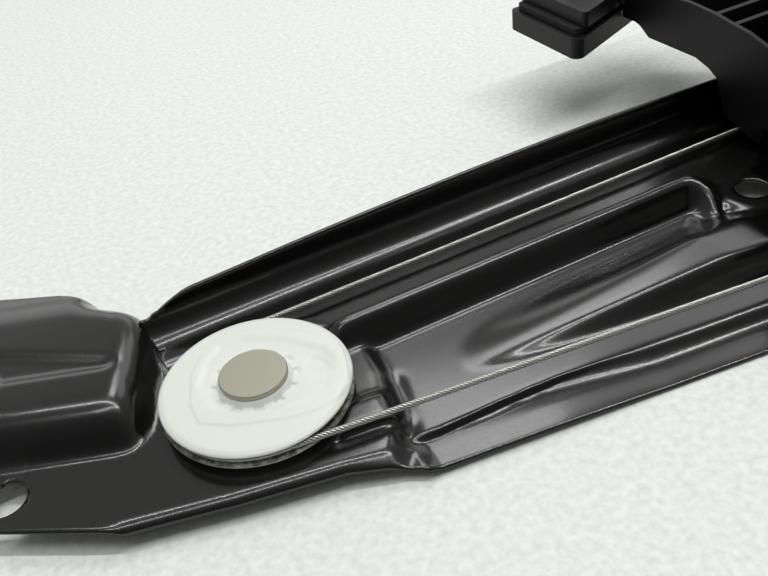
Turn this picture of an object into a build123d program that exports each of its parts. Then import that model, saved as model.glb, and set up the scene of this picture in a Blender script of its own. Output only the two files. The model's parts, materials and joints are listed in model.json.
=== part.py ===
from build123d import *
from math import asin, atan2, cos, degrees, hypot, pi, radians, sin, tan
import os

# Cable window regulator lying on its back, in millimetres.
# X runs along the guide rail towards its upper end, Y across it towards the guide flange and Z up.
# The origin is on the cable drum's axis, level with the pulley seats of the rail plate.

# Layout
PULLEY_SPACING = 410.0
PULLEY_Y = 27.6            # pulley axes lie this far towards the guide flange from the drum axis
LEG_ANGLE = 21.8           # each end leg turns this far away from the rail's line
CARRIER_REST_X = 14.0      # middle of the carrier at rest
CARRIER_LENGTH = 70.0

# Rail plate
SHEET = 1.2
FAR_FLOOR = 1.2            # floor under the carrier's strand, above the pulley seats
PAN_FLOOR = -2.4           # floor of the plate between the ribs
RIB_TOP = 6.6
RIB_WALL = 4.5
NEAR_RIB_TOP = 5.6
HAT_HEIGHT = 10.1          # raised top of each end leg
HAT_GROOVE = 1.2
RIM_FLOOR = -5.4
RIB_START_U = 28.0
RIB_END_U = 160.0
DRUM_PAD_R = 37.0
FIXING_HOLE_R = 5.4
MID_HOLE_U = 165.5         # middle fixing holes, measured from the pulley axis along the rail
MID_HOLE_W = -2.3
END_HOLE_U = -64.6
END_HOLE_W = 2.4

# Guide flange
FLANGE_W = 39.4            # inner face, measured across from the pulley axes
FLANGE_BEND_R = 8.0
FLANGE_START_U = -20.0
FLANGE_END_HEIGHT = 12.0
FLANGE_CREST_HEIGHT = 16.7

# Cable
CABLE_R = 0.75
CABLE_GAP = 0.3
CABLE_Z = 3.8
CABLE_BEND_R = 2000.0      # gentle bends that lead each return strand to its drum groove
NIPPLE_R = 2.1
NIPPLE_LENGTH = 8.0

# Pulleys
PULLEY_R = 25.0
PULLEY_PITCH_R = 23.6
PULLEY_BOTTOM_Z = 1.6
PULLEY_RIM_Z = 5.95
PULLEY_LAND_Z = 6.9
PULLEY_HUB_R = 14.0
POCKETS = 12
RUNNING_GAP = 0.05
RIVET_R = 5.0
RIVET_HEAD_R = 8.86
RIVET_HEAD = 1.3
WASHER = 0.85
SEAT_WASHER_R = 12.0

# Drum and its housing
DRUM_PITCH_R = 21.0        # to the middle of the wound cable
DRUM_ROOT_R = 19.95
DRUM_R = 22.2
WRAP_PITCH = 2.2
WRAP_TURNS = 1.25
DRUM_FLANGE = 0.8
DRUM_JOURNAL_R = 11.0
DRIVE_BORE_R = 7.0
SPLINE_BORE_R = 5.2
OPENING_R = DRUM_R + 2.2   # hole in the plate under the drum
HOUSING_R = 27.0
HOUSING_WALL = 2.0
HOUSING_SCREW_PCD = 60.0
MOTOR_THREAD_R = 2.5
INSERT_WALL = 1.1
SEAT_GAP = 0.05            # between the plate and the pieces seated on it

# Carrier and glass clamps, across being measured from the carrier's strand
CARRIER_WALL = 1.6
CARRIER_TOP_Z = 37.6
FOOT_Z = 2.9
ARM_BOTTOM_Z = 21.6        # underside of the clamp jaws
ARM_UNDER_Z = 22.7
JAW_TOP_Z = 29.0
PAD_BOTTOM_Z = 27.4
PLATE_BOTTOM_Z = 31.6
PLATE_TOP_Z = 37.2
PAD_INSET = 2.2            # from the jaw's edges
JAW_START = 47.8
JAW_END = 91.4
JAW_LEFT_X = -51.0
JAW_RIGHT_X = -9.0
JAW_SKEW = 23.3            # degrees, of the face towards the strand
CLAMP_BOLT_R = 3.0
FLANGE_GAP = 0.3           # each side of the flange in the guide shoes
SHOE_LENGTH = 16.0
SHOE_WALL = 2.2

os.makedirs("parts", exist_ok=True)


def save(shape, name):
    export_step(shape, f"parts/{name}.step")


# ---------------------------------------------------------------- rail plate
# u is the distance from a pulley axis towards the drum and w the distance across from the line
# through both pulley axes. The plate's lower half is drawn in u and w and mirrored for the upper.

HALF_SPACING = PULLEY_SPACING / 2
STRAND_Y = PULLEY_Y + PULLEY_PITCH_R
RETURN_ANGLE = degrees(atan2(PULLEY_Y, HALF_SPACING)
                       - asin((PULLEY_PITCH_R - DRUM_PITCH_R) / hypot(HALF_SPACING, PULLEY_Y)))
DIE_FLOOR = -30.0


def at(u, w):
    return (u - HALF_SPACING, w + PULLEY_Y)


def strand_w(u):
    """Return strand of the cable, seen from above."""
    return -PULLEY_PITCH_R / cos(radians(RETURN_ANGLE)) - u * tan(radians(RETURN_ANGLE))


def leg_point(along, across):
    """Point of an end leg, whose own axis turns away from the rail by LEG_ANGLE."""
    c, s = cos(radians(LEG_ANGLE)), sin(radians(LEG_ANGLE))
    return (along * c + across * s, across * c - along * s)


def flat_face(points, z, rounding=0.0):
    face = make_face(Polyline(*[at(*point) for point in points], close=True))
    if rounding:
        face = fillet(face.vertices(), rounding)
    return (Pos(0, 0, z) * face).faces()[0]


def plateau(points, top, slope=45, edge=2.5, rounding=0.0):
    """Flat-topped form with sloping sides, as a press tool shapes it."""
    body = extrude(flat_face(points, top, rounding), amount=top + 14, dir=(0, 0, -1), taper=-slope)
    rim = [e for e in body.edges() if abs(e.bounding_box().min.Z - top) < 1e-4]
    return fillet(rim, edge) if edge else body


def section_loft(sections):
    """Ruled form through sections, each an x place with its points (w, z)."""
    faces = [Pos(u - HALF_SPACING, 0, 0) * (Plane.YZ * make_face(
        Polyline(*[(w + PULLEY_Y, z) for w, z in points], close=True))) for u, points in sections]
    return loft(faces, ruled=True)


def main_rib():
    bar = section_loft([(u, [(2.0, -9), (2.0, PAN_FLOOR - 1), (2.0 + RIB_WALL, RIB_TOP), (9.5, RIB_TOP),
                             (12.5, FAR_FLOOR - 1), (12.5, -9)]) for u in (RIB_START_U, RIB_END_U)])
    ends = plateau([(RIB_START_U, -20), (RIB_END_U, -20), (RIB_END_U, 40), (RIB_START_U, 40)],
                   RIB_TOP + 0.01, slope=25, edge=0)
    crest = [e for e in bar.edges() if abs(e.center().Z - RIB_TOP) < 1e-3 and e.length > 50]
    return fillet(crest, 1.9) & ends


def near_rib():
    def profile(u, top):
        foot = strand_w(u) + 7
        return (u, [(foot, -9), (foot, PAN_FLOOR - 0.5), (foot + 7.5, top), (foot + 10, top),
                    (foot + 27, PAN_FLOOR - 0.5), (foot + 27, -9)])
    return section_loft([profile(54, PAN_FLOOR + 0.1), profile(128, NEAR_RIB_TOP),
                         profile(156, NEAR_RIB_TOP), profile(168, PAN_FLOOR + 0.1)])


def leg_hat():
    """Raised hollow of an end leg, with its shallow groove and falling far wing."""
    top = [(-110, -7), (-60, -7), (-32, -7), (-30, -2), (-30, 25), (-34, 35), (-44, 39), (-110, 39)]
    foot = [(-110, -10.5), (-60, -14.5), (-30, -27.5), (-26.8, -12), (-26.6, 25), (-31, 38), (-44, 43),
            (-110, 43)]
    body = loft([flat_face([leg_point(*p) for p in foot], -9 + 5.0),
                 flat_face([leg_point(*p) for p in top], HAT_HEIGHT)], ruled=True)
    rim = [e for e in body.edges() if abs(e.bounding_box().min.Z - HAT_HEIGHT) < 1e-4]
    return fillet(rim, 2.8)


def leg_prism(points, start, end):
    """Prism along a leg from points (across, z)."""
    section = Plane.YZ * make_face(Polyline(*points, close=True))
    bar = extrude((Pos(start, 0, 0) * section), amount=end - start)
    return Pos(-HALF_SPACING, PULLEY_Y, 0) * Rot(0, 0, -LEG_ANGLE) * bar


def half_die():
    """Block whose upper side is the plate's lower half."""
    die = Pos(-HALF_SPACING + 45, PULLEY_Y, (DIE_FLOOR + RIM_FLOOR) / 2) * Box(500, 260, RIM_FLOOR - DIE_FLOOR)
    pan_near = [(206, strand_w(206) - 5), (62, strand_w(62) - 5), (30, -50), (-100, -70)]
    forms = [
        plateau(pan_near + [(-100, 100), (206, 100)], PAN_FLOOR, edge=2.0),
        plateau([(-100, -19), (-42, -16.5), (-16, -22.8), (9, -28), (20, -31.5), (28.4, -24), (30, -14),
                 (31.5, 5), (31.5, 28), (-30, 40), (-100, 40)], 0.0, edge=1.5),
        plateau([(-40, 26.8), (14, 26.8), (34, 7.2), (206, 7.2), (206, 70), (-40, 70)], FAR_FLOOR, 50,
                edge=1.5),
        plateau([(12, -22.5), (27, -23.5), (27, -16.5), (14, -16.0)], 1.5, edge=1.0, rounding=3.0),
        main_rib(),
        near_rib(),
        leg_hat(),
        leg_prism([(30, -8), (30, HAT_HEIGHT - 0.2), (38.5, HAT_HEIGHT - 0.2), (48, 7.4), (70, 7.4),
                   (70, -8)], -110, -47),
        Pos(*at(MID_HOLE_U, MID_HOLE_W), -3) * Cone(13.5, 10.0, 7.2),
        Pos(0, 0, -3) * Cone(DRUM_PAD_R + 6, DRUM_PAD_R, 6),
    ]
    for form in forms:
        die = die + form
    groove = [leg_point(*p) for p in ((-110, 10.8), (-39, 10.8), (-39, 12.0), (-110, 29.8))]
    return die - extrude(flat_face(groove, HAT_HEIGHT - HAT_GROOVE), amount=2, taper=-60)


NEAR_EDGE = [(HALF_SPACING, -64.8), (26.5, -42.2), (21.5, -39.0), (9.0, -34.0), (-16.0, -28.8),
             (-42.0, -22.4), (-80.5, 1.0)]
FAR_EDGE = [(-57.5, 77.5), (-38.0, 66.2), (-29.5, 58.5), (-26.5, 50.0), (-19.5, 43.0),
            (-18.0, FLANGE_W - FLANGE_BEND_R), (HALF_SPACING, FLANGE_W - FLANGE_BEND_R)]


def flange_profile():
    """Bend and upright of the guide flange, standing on the far floor."""
    inner = PULLEY_Y + FLANGE_W
    foot = inner - FLANGE_BEND_R
    centre = (foot, FAR_FLOOR + FLANGE_BEND_R)
    over = FLANGE_CREST_HEIGHT + 5
    lines = [Line((foot, FAR_FLOOR - SHEET), (foot, FAR_FLOOR)),
             CenterArc(centre, FLANGE_BEND_R, -90, 90),
             Line((inner, centre[1]), (inner, over)),
             Line((inner, over), (inner + SHEET, over)),
             Line((inner + SHEET, over), (inner + SHEET, centre[1])),
             CenterArc(centre, FLANGE_BEND_R + SHEET, 0, -90)]
    return Plane.YZ * make_face(lines)


def guide_flange():
    reach = HALF_SPACING - FLANGE_START_U
    flange = extrude(flange_profile(), amount=reach, both=True)
    crest = Spline((-reach - 1, FLANGE_END_HEIGHT - 1), (-HALF_SPACING, FLANGE_END_HEIGHT + 0.6),
                   (-156, 15.2), (-75, FLANGE_CREST_HEIGHT), (-14, 15.1), (60, 13.6),
                   (HALF_SPACING, FLANGE_END_HEIGHT + 0.6), (reach + 1, FLANGE_END_HEIGHT - 1))
    high = FLANGE_CREST_HEIGHT + 20
    above = make_face([crest, Line(crest @ 1, (reach + 1, high)),
                       Line((reach + 1, high), (-reach - 1, high)), Line((-reach - 1, high), crest @ 0)])
    return flange - extrude(Plane.XZ * above, amount=PULLEY_Y + FLANGE_W + 20, both=True)


def at_pulleys(shape):
    return [Pos(side * HALF_SPACING, PULLEY_Y, 0) * shape for side in (-1, 1)]


def housing_screw_places():
    return [Rot(0, 0, 30 + 120 * k) * Pos(HOUSING_SCREW_PCD / 2, 0, 0) for k in range(3)]


def make_rail():
    die = half_die()
    outline = extrude(flat_face(NEAR_EDGE + FAR_EDGE, 0), amount=60, both=True)
    half = (die - Pos(0, 0, -SHEET) * die) & outline
    half = max(half.solids(), key=lambda solid: solid.volume)
    rail = half + mirror(half, about=Plane.YZ) + guide_flange()
    cuts = at_pulleys(Cylinder(RIVET_R + 0.02, 40)) + [Cylinder(OPENING_R, 40)]
    for side in (-1, 1):
        for hole_u, hole_w in ((MID_HOLE_U, MID_HOLE_W), (END_HOLE_U, END_HOLE_W)):
            x = side * (HALF_SPACING - hole_u)
            cuts.append(Pos(x, PULLEY_Y + hole_w, 0) * Cylinder(FIXING_HOLE_R, 80))
    cuts += [place * Cylinder(MOTOR_THREAD_R + 1.7, 40) for place in housing_screw_places()]
    for cut in cuts:
        rail = rail - cut
    return max(rail.solids(), key=lambda solid: solid.volume)


# ---------------------------------------------------------------- pulleys and their rivets

HUB_BOTTOM_Z = WASHER + RUNNING_GAP
HUB_TOP_Z = 7.45
HEAD_BOTTOM_Z = HUB_TOP_Z + RUNNING_GAP
HEAD_TOP_Z = HEAD_BOTTOM_Z + RIVET_HEAD
GROOVE_R = CABLE_R + CABLE_GAP


def turned(points):
    """Solid of revolution from points (radius, z)."""
    return revolve(Plane.XZ * make_face(Polyline(*points, close=True)))


def ring(outer, inner, bottom, top):
    body = Pos(0, 0, (bottom + top) / 2) * Cylinder(outer, top - bottom)
    return body - Cylinder(inner, 200)


PULLEY_LAND = [(-1.5, 22.0), (-13.5, 12.5), (-18.0, -3.0), (-16.2, -9.5), (1.5, -17.6), (14.0, -19.5),
               (25.5, -12.0), (25.5, 1.5), (14.0, 13.5)]
LAND_WIDTH = 3.2


def make_pulley():
    """Grooved wheel with an off-centre raised ridge and a ring of pockets in its upper face."""
    bore = RIVET_R + RUNNING_GAP
    root = PULLEY_PITCH_R - GROOVE_R - 0.05
    low, high = CABLE_Z - GROOVE_R, CABLE_Z + GROOVE_R
    wheel = turned([(bore, HUB_BOTTOM_Z), (17.5, HUB_BOTTOM_Z), (18.2, PULLEY_BOTTOM_Z),
                    (PULLEY_R, PULLEY_BOTTOM_Z), (PULLEY_R, low - 0.3), (PULLEY_PITCH_R, low),
                    (root, CABLE_Z - 0.65), (root, CABLE_Z + 0.65), (PULLEY_PITCH_R, high),
                    (PULLEY_R, high + 0.35), (PULLEY_R - 0.6, PULLEY_RIM_Z), (PULLEY_R - 4.5, 6.4),
                    (9.4, 6.4), (9.0, HUB_TOP_Z), (bore, HUB_TOP_Z)])
    land = make_face(Polyline(*PULLEY_LAND, close=True))
    land = fillet(land.vertices(), 5.0)
    ridge = land - offset(land, -LAND_WIDTH)
    ridge = extrude(Pos(0, 0, 6.2) * ridge, amount=PULLEY_LAND_Z - 6.2)
    wheel = wheel + (ridge & Pos(0, 0, 6) * Cylinder(PULLEY_R - 1.5, 4))
    for k in range(POCKETS):
        wheel = wheel - Rot(0, 0, 360 * (k + 0.5) / POCKETS) * Pos(11.4, 0, 6.4) * Box(3.2, 1.7, 2.4)
    return wheel


def make_rivet():
    tail = -SHEET - 2.2
    return turned([(0, tail), (6.2, tail), (7.0, tail + 0.7), (7.0, -SHEET - 0.02),
                   (RIVET_R, -SHEET - 0.02), (RIVET_R, HEAD_BOTTOM_Z), (RIVET_HEAD_R, HEAD_BOTTOM_Z),
                   (RIVET_HEAD_R, HEAD_TOP_Z - 0.25), (RIVET_HEAD_R - 0.25, HEAD_TOP_Z), (0, HEAD_TOP_Z)])


# ---------------------------------------------------------------- drum and its housing

FIRST_WRAP = WRAP_PITCH / 2
LAST_WRAP = FIRST_WRAP + WRAP_PITCH * WRAP_TURNS
SPOOL_HALF = LAST_WRAP + CABLE_R + 0.4
DRUM_BOTTOM_Z = CABLE_Z - SPOOL_HALF - DRUM_FLANGE
DRUM_TOP_Z = CABLE_Z + SPOOL_HALF + DRUM_FLANGE
RING_FLOOR_Z = DRUM_BOTTOM_Z - 0.4
RING_BOTTOM_Z = RING_FLOOR_Z - 3.8
ROOF_Z = DRUM_TOP_Z + 0.9
ROOF_TOP_Z = ROOF_Z + 2.4
WRAP_END_ANGLE = -90 - RETURN_ANGLE + 360 * WRAP_TURNS


def housing_pins(radius, bottom, top):
    """One cylinder at each of the motor's screws."""
    pin = Pos(0, 0, (bottom + top) / 2) * Cylinder(radius, top - bottom)
    return [place * pin for place in housing_screw_places()]


def make_drum():
    """Spool with a flange and a journal at each end, and a splined drive bore."""
    low, high = CABLE_Z - SPOOL_HALF, CABLE_Z + SPOOL_HALF
    bottom, top = RING_BOTTOM_Z + 0.4, ROOF_TOP_Z + 0.6
    body = turned([(DRIVE_BORE_R, bottom), (DRUM_JOURNAL_R, bottom), (DRUM_JOURNAL_R, DRUM_BOTTOM_Z),
                   (DRUM_R, DRUM_BOTTOM_Z), (DRUM_R, low), (DRUM_ROOT_R, low), (DRUM_ROOT_R, high),
                   (DRUM_R, high), (DRUM_R, DRUM_TOP_Z), (DRUM_JOURNAL_R, DRUM_TOP_Z),
                   (DRUM_JOURNAL_R, top), (SPLINE_BORE_R, top), (SPLINE_BORE_R, CABLE_Z + 0.2),
                   (DRIVE_BORE_R, CABLE_Z + 0.2)])
    for k in range(6):
        groove = Pos(SPLINE_BORE_R, 0, top) * Box(2.6, 1.8, 2 * (top - CABLE_Z))
        body = body - Rot(0, 0, 60 * k) * groove
    for pocket in (nipple_place(1), nipple_place(-1)):
        body = body - pocket * Cylinder(NIPPLE_BARREL_R + 0.1, NIPPLE_BARREL)
        body = body - pocket * Pos(2, 0, 0) * Box(4, 2 * CABLE_R + 0.5, NIPPLE_BARREL)
    return body


NIPPLE_BARREL_R = 1.3
NIPPLE_BARREL = 3.0


def nipple_place(side):
    """Pocket of a cable's end in the drum; side is +1 for the lower cable, -1 for the upper."""
    angle = WRAP_END_ANGLE if side > 0 else 180 - WRAP_END_ANGLE
    return Rot(0, 0, angle) * Pos(DRUM_ROOT_R - NIPPLE_BARREL_R - 0.6, 0, CABLE_Z - side * LAST_WRAP)


def strand_box(side, start, end, half_width, bottom, top):
    """Box along a return strand, between two distances from the drum's axis."""
    bar = Pos(-(start + end) / 2, -DRUM_PITCH_R, (bottom + top) / 2) * Box(
        end - start, 2 * half_width, top - bottom)
    lower = Rot(0, 0, -RETURN_ANGLE) * bar
    return lower if side < 0 else mirror(lower, about=Plane.YZ)


def make_housing():
    """Cap over the drum, with a snout where each strand enters and three screw bosses."""
    inner = HOUSING_R - HOUSING_WALL
    cap = turned([(0, SEAT_GAP), (HOUSING_R + 2, SEAT_GAP), (HOUSING_R + 2, 2.6), (HOUSING_R, 2.6),
                  (HOUSING_R, ROOF_TOP_Z - 1.6), (HOUSING_R - 1.6, ROOF_TOP_Z),
                  (DRUM_JOURNAL_R + 2.4, ROOF_TOP_Z), (DRUM_JOURNAL_R + 2.4, ROOF_TOP_Z + 1.2),
                  (0, ROOF_TOP_Z + 1.2)])
    for pin in housing_pins(MOTOR_THREAD_R + INSERT_WALL + 1.6, SEAT_GAP, 8.0):
        cap = cap + pin
    for side in (-1, 1):
        cap = cap + strand_box(side, 12, HOUSING_R + 16, 4.0, SEAT_GAP, 9.2)
    for k in range(8):
        cap = cap + Rot(0, 0, 45 * k + 22.5) * Pos(19.4, 0, ROOF_TOP_Z) * Box(10, 1.4, 1.6)
    cap = cap - ring(inner, 0, SEAT_GAP - 1, ROOF_Z)
    cap = cap - Cylinder(DRUM_JOURNAL_R + RUNNING_GAP, 60)
    for side in (-1, 1):
        cap = cap - strand_box(side, 12, HOUSING_R + 20, 1.8, -2, 6.9)
    for pin in housing_pins(MOTOR_THREAD_R + INSERT_WALL, SEAT_GAP - 1, 7.5):
        cap = cap - pin
    return cap


def make_bearing_ring():
    """Ring under the plate's opening that carries the drum's lower journal."""
    under = -SHEET - SEAT_GAP
    body = turned([(DRUM_JOURNAL_R + RUNNING_GAP, RING_BOTTOM_Z), (OPENING_R + 3, RING_BOTTOM_Z + 1.2),
                   (OPENING_R + 3, under), (OPENING_R - 1, under), (OPENING_R - 1, RING_FLOOR_Z),
                   (DRUM_JOURNAL_R + RUNNING_GAP, RING_FLOOR_Z)])
    for pin in housing_pins(MOTOR_THREAD_R + 3.2, under - 2.4, under):
        body = body + pin
    for pin in housing_pins(MOTOR_THREAD_R + 0.4, RING_BOTTOM_Z, 0):
        body = body - pin
    return body - Pos(0, 0, RING_FLOOR_Z + 10) * Cylinder(OPENING_R - 1, 20)


def make_motor_inserts():
    inserts = housing_pins(MOTOR_THREAD_R + INSERT_WALL, SEAT_GAP, 7.5)
    hole = housing_pins(MOTOR_THREAD_R, SEAT_GAP - 1, 8.5)
    return Compound(children=[body - bore for body, bore in zip(inserts, hole)])


# ---------------------------------------------------------------- cables
# Each cable runs from the carrier round its pulley and on to the drum, where it is wound on at the
# slope of its own winding.


def make_cable(start_x, side):
    """Lower cable for side +1; for -1 the upper one before it is mirrored."""
    run = Vector(cos(radians(RETURN_ANGLE)), -sin(radians(RETURN_ANGLE)), 0)
    normal = Vector(run.Y, -run.X, 0)
    start = Vector(start_x, STRAND_Y, CABLE_Z)
    pulley = Vector(-HALF_SPACING, PULLEY_Y, CABLE_Z)
    drum = Vector(0, 0, CABLE_Z - side * FIRST_WRAP)
    leave = pulley + normal * PULLEY_PITCH_R
    meet = drum + normal * DRUM_PITCH_R
    bend = meet - run * pi * DRUM_PITCH_R + Vector(0, 0, side * FIRST_WRAP)
    winding = Edge.make_helix(WRAP_PITCH, WRAP_PITCH * WRAP_TURNS, DRUM_PITCH_R)
    if side > 0:
        winding = winding.mirror(Plane.XY)
    winding = Pos(*drum) * Rot(0, 0, -90 - RETURN_ANGLE) * winding
    path = Wire([Edge.make_line(start, pulley + Vector(0, PULLEY_PITCH_R, 0))]
                + CenterArc(pulley, PULLEY_PITCH_R, 90, 180 - RETURN_ANGLE).edges()
                + FilletPolyline(leave, bend, meet, radius=CABLE_BEND_R).edges() + [winding])
    return sweep(Plane(origin=start, z_dir=(-1, 0, 0)) * Circle(CABLE_R), path=path)


# ---------------------------------------------------------------- carrier
# Drawn at its rest place. a is the distance along the rail from the carrier's middle and d the
# distance across from its strand.

HALF_LENGTH = CARRIER_LENGTH / 2
CARRIER_END_X = CARRIER_REST_X - HALF_LENGTH
ARM_REACH = JAW_START + (CARRIER_END_X - JAW_LEFT_X) * tan(radians(JAW_SKEW)) - 0.3
FLANGE_D = FLANGE_W + SHEET / 2 - PULLEY_PITCH_R
SHOE_HALF = SHEET / 2 + FLANGE_GAP + SHOE_WALL
SHOE_A = HALF_LENGTH - SHOE_LENGTH / 2 - 9
SHOE_TOP_Z = 25.2
ARM_MIDDLE = Plane((0, STRAND_Y, 0), z_dir=(0, 1, 0))
BOLT_X = -31.0
BOLT_D = 74.0


def carrier_box(a, d, length, width, bottom, top):
    place = Pos(CARRIER_REST_X + a, STRAND_Y + d, (bottom + top) / 2)
    return place * Box(length, width, top - bottom)


def plan_prism(points, bottom, top, rounding=0.0):
    """Upright prism from points (x, d)."""
    face = make_face(Polyline(*[(x, STRAND_Y + d) for x, d in points], close=True))
    if rounding:
        face = fillet(face.vertices(), rounding)
    return extrude(Pos(0, 0, bottom) * face, amount=top - bottom)


def skew_d(x, offset=0.0):
    """Face of a clamp towards the strand, whose distance grows with x."""
    return JAW_START + offset + (x - JAW_LEFT_X) * tan(radians(JAW_SKEW))


def carrier_section():
    """Face across the rail: an arched underside and a low crowned top."""
    far = [(-10.4, FOOT_Z), (-5.0, FOOT_Z + 0.7), (-0.4, 5.0), (3.7, 6.3), (7.0, 8.0), (8.7, 12.7),
           (11.3, 18.6), (15.6, 20.9), (22.0, ARM_UNDER_Z), (45.7, ARM_UNDER_Z), (50.6, ARM_UNDER_Z + 3),
           (53.5, ARM_UNDER_Z + 3.8), (ARM_REACH, ARM_UNDER_Z + 3.8), (ARM_REACH, 38.0),
           (28.0, CARRIER_TOP_Z + 2.8), (16.2, CARRIER_TOP_Z + 2.1), (8.6, CARRIER_TOP_Z + 0.9),
           (1.3, CARRIER_TOP_Z)]
    near = [(-7.4, CARRIER_TOP_Z - 2.4), (-26.4, CARRIER_TOP_Z - 2.6), (-ARM_REACH, 37.0),
            (-ARM_REACH, ARM_UNDER_Z + 3.8), (-53.5, ARM_UNDER_Z + 3.8), (-50.6, ARM_UNDER_Z + 3),
            (-45.7, ARM_UNDER_Z), (-23.1, ARM_UNDER_Z), (-20.1, ARM_UNDER_Z - 4), (-19.1, 8.4),
            (-10.4, 8.4)]
    face = make_face(Polyline(*far + near, close=True))
    arch = [v for v in face.vertices() if 5 < v.X < 20 and v.Y < 22]
    face = fillet(arch, 2.5)
    return Pos(CARRIER_END_X, STRAND_Y, 0) * (Plane.YZ * face)


def clamp_plate():
    """Upper plate of a clamp, over its jaw."""
    left = JAW_LEFT_X + 5
    inner = ARM_REACH - 6
    right = CARRIER_REST_X + 6
    plate = plan_prism([(left, skew_d(left, 0.6)), (CARRIER_END_X, skew_d(CARRIER_END_X, 0.6)),
                        (CARRIER_END_X, inner), (right, inner), (right, JAW_END + 2), (left, JAW_END + 2)],
                       PLATE_BOTTOM_Z, PLATE_TOP_Z, 1.5)
    return plate - Pos(BOLT_X, STRAND_Y + BOLT_D, 30) * Cylinder(CLAMP_BOLT_R + 0.3, 20)


def make_carrier():
    """Ribbed moulding over the guide flange, with an arm out to each glass clamp."""
    body = extrude(carrier_section(), amount=CARRIER_LENGTH)
    end = CARRIER_REST_X + HALF_LENGTH + 1
    for side in (-1, 1):
        body = body - plan_prism([(end, side * 28), (CARRIER_REST_X + 8, side * (ARM_REACH + 1)),
                                  (end, side * (ARM_REACH + 1))], 0, 60)
    for cell in cells():
        body = body - cell
    body = body + clamp_plate() + mirror(clamp_plate(), about=ARM_MIDDLE)
    body = body - carrier_box(0, 0, CARRIER_LENGTH + 2, 2 * GROOVE_R + 0.6, 0, CABLE_Z + 1.6)
    body = body - carrier_box(0, 0, 2 * NIPPLE_LENGTH + 6, 2 * NIPPLE_R + 0.8, 0, NIPPLE_ROOF_Z)
    body = body - carrier_box(0, 0, TONGUE_LENGTH, TONGUE_WIDTH, NIPPLE_ROOF_Z, BLOCK_SEAT_Z)
    body = body - carrier_box(0, 0, BLOCK_LENGTH, BLOCK_WIDTH, BLOCK_SEAT_Z, 60)
    for side in (-1, 1):
        body = body - carrier_box(side * SHOE_A, FLANGE_D, SHOE_LENGTH, 2 * SHOE_HALF, 0, SHOE_TOP_Z)
    return body


NIPPLE_ROOF_Z = CABLE_Z + NIPPLE_R + 0.3
BLOCK_SEAT_Z = 12.0
BLOCK_TOP_Z = 32.0
BLOCK_LENGTH = 38.0
BLOCK_WIDTH = 14.0
TONGUE_LENGTH = 20.0
TONGUE_WIDTH = 4.0


def cells():
    """Open cells between the ribs, moulded from above; each row gives d limits and its floor."""
    wall = CARRIER_WALL
    inner = BLOCK_WIDTH / 2 + wall
    reach = HALF_LENGTH - wall
    rows = ((inner, 15.0, 22.6), (15.0 + wall, 29.4, 24.4), (-18.6 + wall, -inner, 10.6),
            (-33.0, -20.6, 24.4))
    cutters = []
    for low, high, floor in rows:
        for a, length in ((-21.8, 2 * (reach - 21.8)), (0, 40 - 2 * wall), (21.8, 2 * (reach - 21.8))):
            if low < -30 and a > 0:
                length, a = length - 4.0, a - 2.0
            cutters.append(carrier_box(a, (low + high) / 2, length, high - low, floor, 60))
    for side in (-1, 1):
        d = side * (41.7 if side < 0 else 39.0)
        for a, length in ((-21.8, 2 * (reach - 21.8)), (-1.4, 14.0)):
            cutters.append(carrier_box(a, d, length, 14.2 if side < 0 else 16.0, 24.9, 60))
        a = (BLOCK_LENGTH / 2 + wall + reach) / 2
        cutters.append(carrier_box(side * a, 0, 2 * (reach - a), BLOCK_WIDTH, 12.6, 60))
    return cutters


def make_end_block():
    """Insert that keeps both nipples down and stands in the carrier's middle cell."""
    block = carrier_box(0, 0, BLOCK_LENGTH, BLOCK_WIDTH, BLOCK_SEAT_Z, BLOCK_TOP_Z)
    block = block + carrier_box(0, 0, TONGUE_LENGTH, TONGUE_WIDTH, NIPPLE_ROOF_Z, BLOCK_SEAT_Z)
    for end in (-1, 1):
        block = block - carrier_box(end * 9.2, 0, 15.2, BLOCK_WIDTH - 3.2, BLOCK_SEAT_Z + 3, 60)
    return block


def make_carrier_nipple(side):
    """Crimped end of a cable in the carrier, on the side it pulls towards."""
    middle = side * (3 + NIPPLE_LENGTH / 2)
    barrel = Rot(0, 90, 0) * (Cylinder(NIPPLE_R, NIPPLE_LENGTH) - Cylinder(GROOVE_R, 2 * NIPPLE_LENGTH))
    return Pos(CARRIER_REST_X + middle, STRAND_Y, CABLE_Z) * barrel


def make_shoe(side):
    """Guide shoe that straddles the flange."""
    shoe = carrier_box(side * SHOE_A, FLANGE_D, SHOE_LENGTH, 2 * SHOE_HALF, 10.0, SHOE_TOP_Z)
    return shoe - carrier_box(side * SHOE_A, FLANGE_D, SHOE_LENGTH + 2, SHEET + 2 * FLANGE_GAP, 0,
                              FLANGE_CREST_HEIGHT + 0.5)


def far_or_near(shape, side):
    return shape if side > 0 else mirror(shape, about=ARM_MIDDLE)


def make_jaw(side):
    """Lower jaw of a glass clamp, with a recess for its pad."""
    outline = [(JAW_LEFT_X, skew_d(JAW_LEFT_X)), (JAW_RIGHT_X, skew_d(JAW_RIGHT_X)),
               (JAW_RIGHT_X, JAW_END), (JAW_LEFT_X, JAW_END)]
    jaw = plan_prism(outline, ARM_BOTTOM_Z, JAW_TOP_Z, 3.0)
    jaw = jaw - pad_form(0.1) - Pos(BOLT_X, STRAND_Y + BOLT_D, 30) * Cylinder(CLAMP_BOLT_R + 0.3, 40)
    return far_or_near(jaw, side)


def pad_form(margin=0.0):
    inset = PAD_INSET - margin
    left, right = JAW_LEFT_X + inset, JAW_RIGHT_X - inset
    outline = [(left, skew_d(left, inset)), (right, skew_d(right, inset)), (right, JAW_END - inset),
               (left, JAW_END - inset)]
    return plan_prism(outline, PAD_BOTTOM_Z, PLATE_BOTTOM_Z, 2.0)


def make_pad(side):
    pad = pad_form() - Pos(BOLT_X, STRAND_Y + BOLT_D, 30) * Cylinder(CLAMP_BOLT_R + 0.6, 40)
    return far_or_near(pad, side)


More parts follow.
